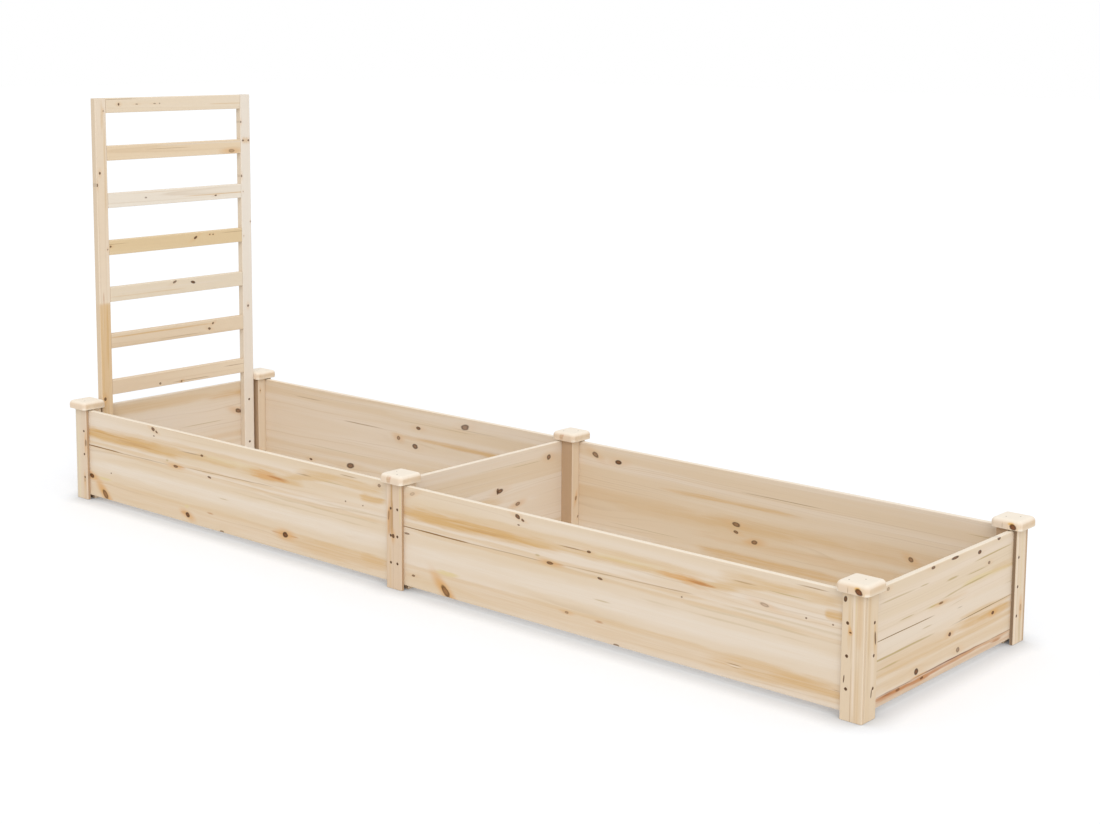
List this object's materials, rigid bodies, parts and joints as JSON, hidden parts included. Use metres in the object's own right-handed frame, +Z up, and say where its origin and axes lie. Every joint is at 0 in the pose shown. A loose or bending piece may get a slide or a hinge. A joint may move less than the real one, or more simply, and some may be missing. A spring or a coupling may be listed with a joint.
{
  "type": "planter with trellis",
  "caption": "Long low timber planter bed in two bays, with slotted board posts under rounded caps, a divider board and an upright ladder trellis at one end.",
  "frame": {"origin": "on the ground under the middle of the whole object, level with the bottoms of the six posts", "axes": "+X along the length, away from the trellis end; +Y from the front long side to the rear; +Z up"},
  "size_m": [2.365, 0.637, 1.024],
  "materials": {
    "wall": "planed bare softwood with knots",
    "post": "planed bare softwood, upright grain",
    "cap": "pale moulded softwood",
    "trellis": "planed bare softwood, warmer tone",
    "screw": "dark bronzed steel"
  },
  "bodies": {
    "root": {"front_left_post_side_cover": "post", "front_left_post_end_cover": "post", "front_left_post_block": "post", "front_left_post_cap": "cap", "front_right_post_side_cover": "post", "front_right_post_end_cover": "post", "front_right_post_block": "post", "front_right_post_cap": "cap", "rear_left_post_side_cover": "post", "rear_left_post_end_cover": "post", "rear_left_post_block": "post", "rear_left_post_cap": "cap", "rear_right_post_side_cover": "post", "rear_right_post_end_cover": "post", "rear_right_post_block": "post", "rear_right_post_cap": "cap", "front_middle_post_side_cover": "post", "front_middle_post_block": "post", "front_middle_post_cap": "cap", "rear_middle_post_side_cover": "post", "rear_middle_post_block": "post", "rear_middle_post_cap": "cap", "front_left_wall_board": "wall", "front_right_wall_board": "wall", "rear_left_wall_board": "wall", "rear_right_wall_board": "wall", "left_end_wall_board": "wall", "right_end_wall_board": "wall", "middle_divider_board": "wall", "trellis_front_upright": "trellis", "trellis_rear_upright": "trellis", "trellis_rail_1": "trellis", "trellis_rail_2": "trellis", "trellis_rail_3": "trellis", "trellis_rail_4": "trellis", "trellis_rail_5": "trellis", "trellis_rail_6": "trellis", "trellis_rail_7": "trellis"}
  },
  "joints": []
}
